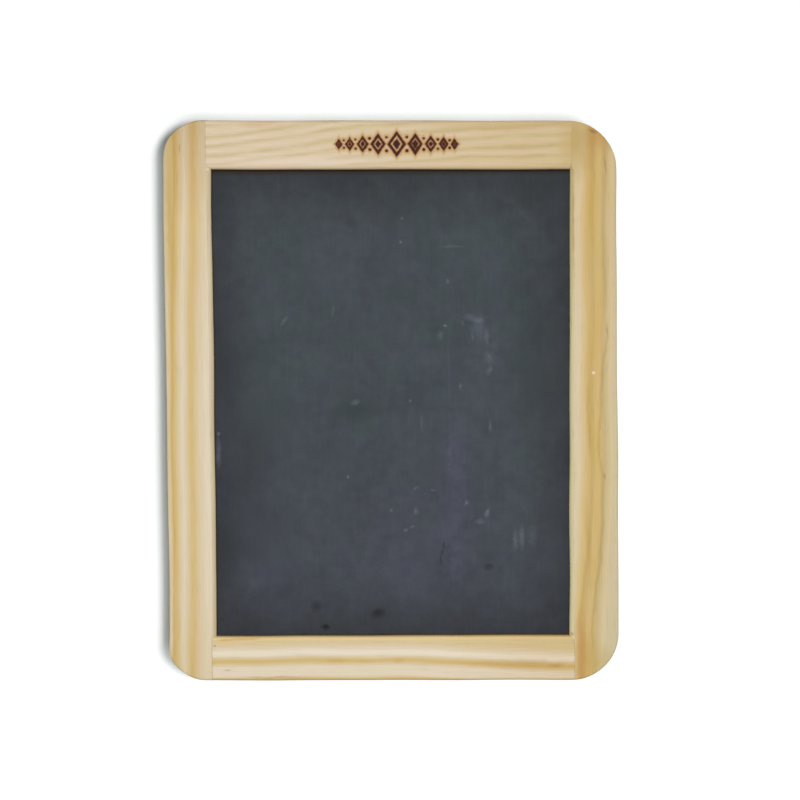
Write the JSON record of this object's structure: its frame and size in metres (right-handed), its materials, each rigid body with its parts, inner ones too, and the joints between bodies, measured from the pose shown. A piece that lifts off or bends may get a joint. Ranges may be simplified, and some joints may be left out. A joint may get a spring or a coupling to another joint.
{
  "type": "slate writing board",
  "caption": "Rectangular school slate: a thin natural slate panel held in the grooves of a pine frame with rounded corners, for writing with chalk or slate pencil on both faces.",
  "frame": {"origin": "under the middle of the board, on the surface that its back lies on", "axes": "+X to the right and +Y to the top edge of the board as it is read, +Z out of the writing face"},
  "size_m": [0.19, 0.235, 0.01],
  "materials": {
    "pine_frame": "matte",
    "natural_slate": "matte"
  },
  "bodies": {
    "root": {"left_stile": "pine_frame", "right_stile": "pine_frame", "top_rail": "pine_frame", "bottom_rail": "pine_frame", "slate_panel": "natural_slate"}
  },
  "joints": []
}
